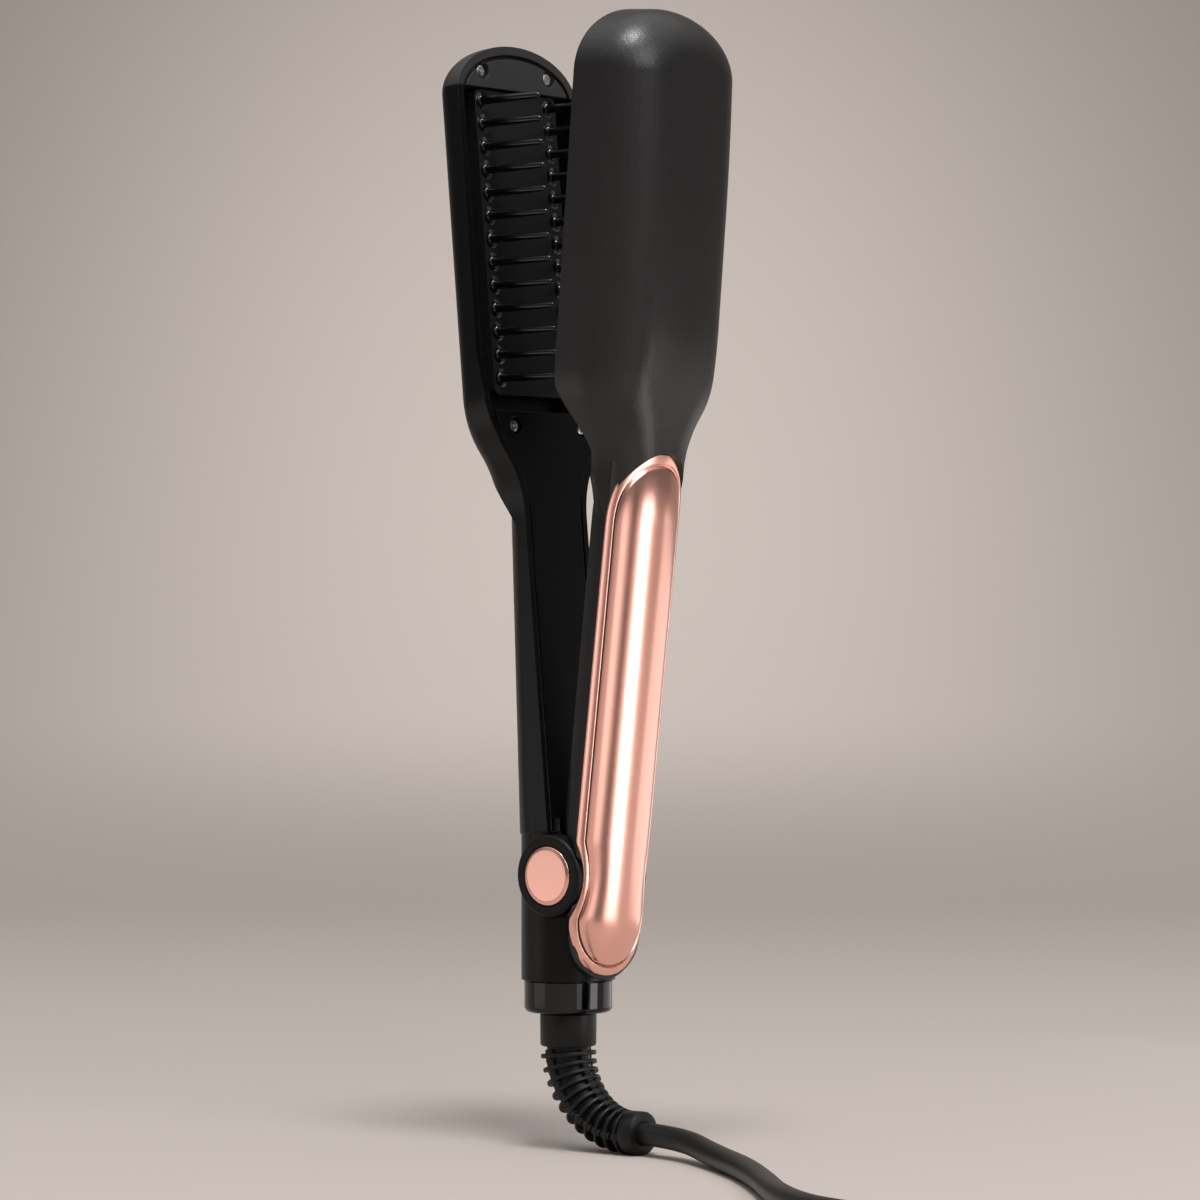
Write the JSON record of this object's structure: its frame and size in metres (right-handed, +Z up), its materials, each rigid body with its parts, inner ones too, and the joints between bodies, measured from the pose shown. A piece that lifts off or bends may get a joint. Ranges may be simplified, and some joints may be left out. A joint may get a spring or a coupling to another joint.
{
  "type": "hair straightener",
  "caption": "Hinged hair straightener: a paddle head with a heated plate closes on a facing comb head, with a sprung hinge, side power button and swivel cord.",
  "frame": {"origin": "on the barrel's axis, at the middle of the collar ring above the cord boot", "axes": "+Z up the barrel towards the heads, X along the hinge pin with the power button facing -X, -Y towards the heated arm"},
  "size_m": [0.1201, 0.3799, 0.3391],
  "materials": {
    "soft_black": "soft-touch black",
    "inner_black": "fine-textured black",
    "tip_grey": "fine-textured dark grey",
    "comb_black": "polished black",
    "rose_gold": "satin rose gold",
    "bezel_grey": "satin dark grey",
    "black_chrome": "dark chrome",
    "steel": "plain steel",
    "coated_plate": "smooth dark coating",
    "carrier_plastic": "heat-resistant black",
    "ceramic": "pale ceramic",
    "board_green": "lacquered board",
    "component_dark": "sleeved component",
    "lead_sleeve": "insulated lead",
    "boot_rubber": "matte black",
    "cord_rubber": "matte black",
    "tie_fabric": "black woven strip",
    "plug_metal": "nickel-plated"
  },
  "bodies": {
    "comb_arm": {"barrel_front_half": "soft_black", "button_bezel": "bezel_grey", "collar_ring": "black_chrome", "comb_arm_shell": "soft_black", "comb_plate": "comb_black", "comb_tip_cap": "tip_grey", "control_board": "board_green", "far_comb_strip": "comb_black", "far_pivot_cap": "inner_black", "handle_inner_cover": "inner_black", "hinge_pin": "steel", "near_comb_strip": "comb_black", "neck_screws": "steel", "opening_spring": "steel", "supply_capacitor": "component_dark", "supply_leads": "lead_sleeve", "switch_board": "board_green", "tact_switch": "carrier_plastic", "tip_screws": "steel", "triac": "carrier_plastic"},
    "plate_arm": {"plate_arm_shell": "soft_black", "grip_trim": "rose_gold", "hinge_yoke": "steel", "grip_back_cover": "inner_black", "grip_screws": "steel", "heater_plate": "coated_plate", "heater_element": "ceramic", "plate_carrier": "carrier_plastic", "thermal_fuse": "ceramic", "heater_leads": "lead_sleeve"},
    "power_button": {"power_button": "rose_gold", "switch_stem": "carrier_plastic"},
    "cord_swivel": {"swivel_bush": "carrier_plastic", "cord_boot": "boot_rubber", "power_cord": "cord_rubber", "cord_coil": "cord_rubber", "cord_tie": "tie_fabric", "plug_body": "cord_rubber", "plug_pins": "plug_metal"}
  },
  "joints": [
    {"name": "arm_hinge", "type": "hinge", "parent": "comb_arm", "child": "plate_arm", "pos_m": [0, -0.006, 0.0368], "axis": [-1, 0, 0], "range_deg": [0, 10.2], "stiffness_Nm_per_rad": 0.5, "springref_deg": -34.38},
    {"name": "power_press", "type": "slide", "parent": "comb_arm", "child": "power_button", "axis": [1, 0, 0], "range_m": [0, 0.0005], "stiffness_N_per_m": 1500, "springref_m": -0.0005},
    {"name": "cord_turn", "type": "hinge", "parent": "comb_arm", "child": "cord_swivel", "pos_m": [0, 0, 0], "axis": [0, 0, 1], "continuous": true}
  ]
}
